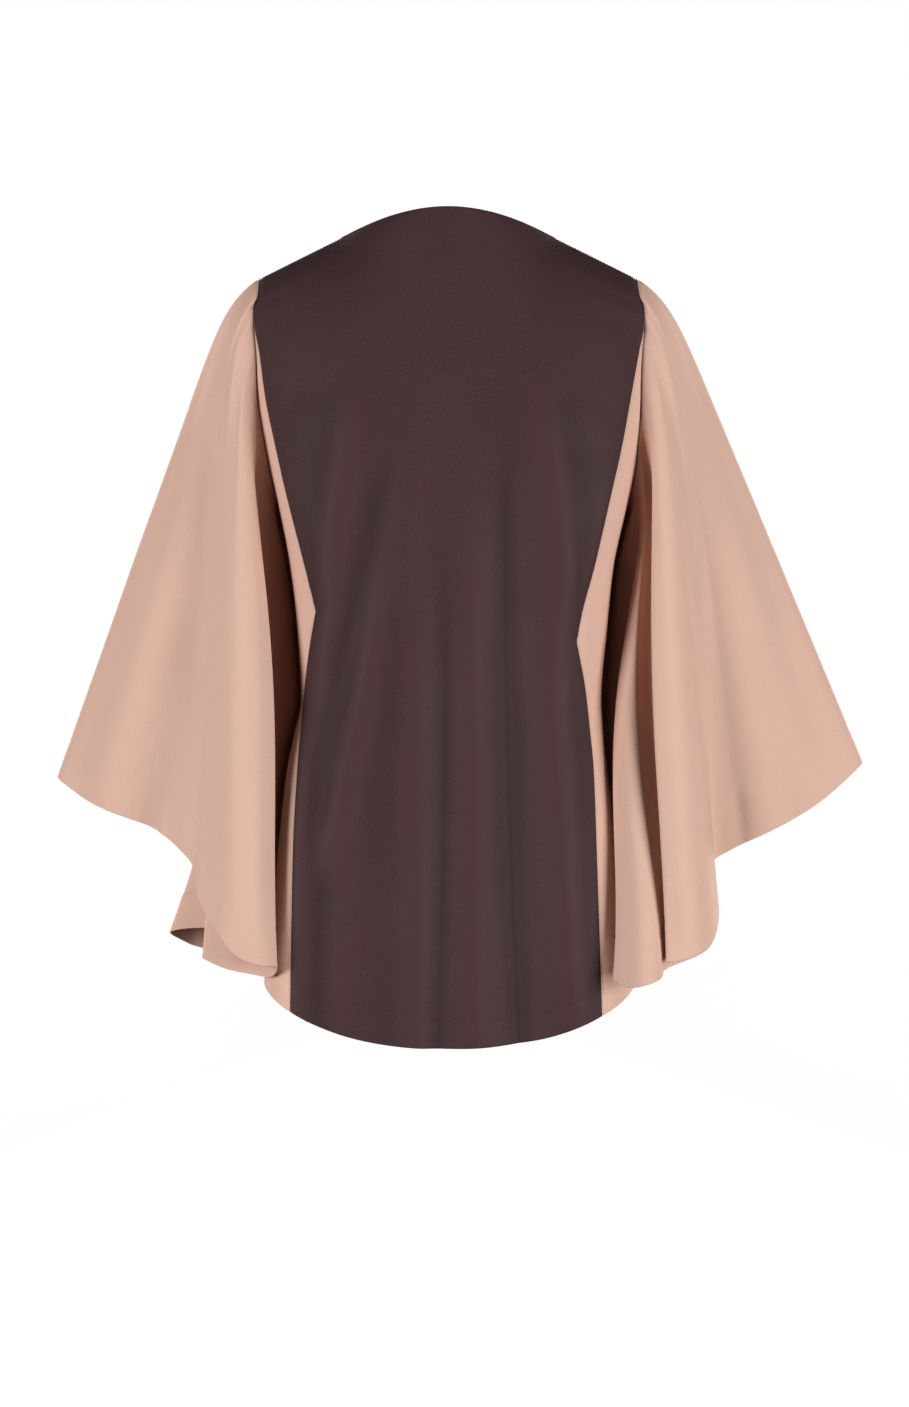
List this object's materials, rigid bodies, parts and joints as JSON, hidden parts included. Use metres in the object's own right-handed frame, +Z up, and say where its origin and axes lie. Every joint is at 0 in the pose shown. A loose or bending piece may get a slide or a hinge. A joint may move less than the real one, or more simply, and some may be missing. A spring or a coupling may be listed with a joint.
{
  "type": "cape top",
  "caption": "Pull-on cape top with wide flared sleeves, dark centre panels and pale side panels, filled out as if worn.",
  "frame": {"origin": "midway between the two points where the shoulder seams meet the neckline, where the wearer's shoulders hold the top", "axes": "+Z up, +Y towards the wearer's front, +X towards the wearer's right; the picture looks along +Y at the back"},
  "size_m": [0.709, 0.2472, 0.7241],
  "materials": {
    "dark_crepe": "matte aubergine crepe",
    "blush_crepe": "matte blush crepe"
  },
  "bodies": {
    "root": {"back_panel": "dark_crepe", "front_panel": "dark_crepe", "side_panel_left": "blush_crepe", "side_panel_right": "blush_crepe", "sleeve_left": "blush_crepe", "sleeve_right": "blush_crepe"}
  },
  "joints": []
}
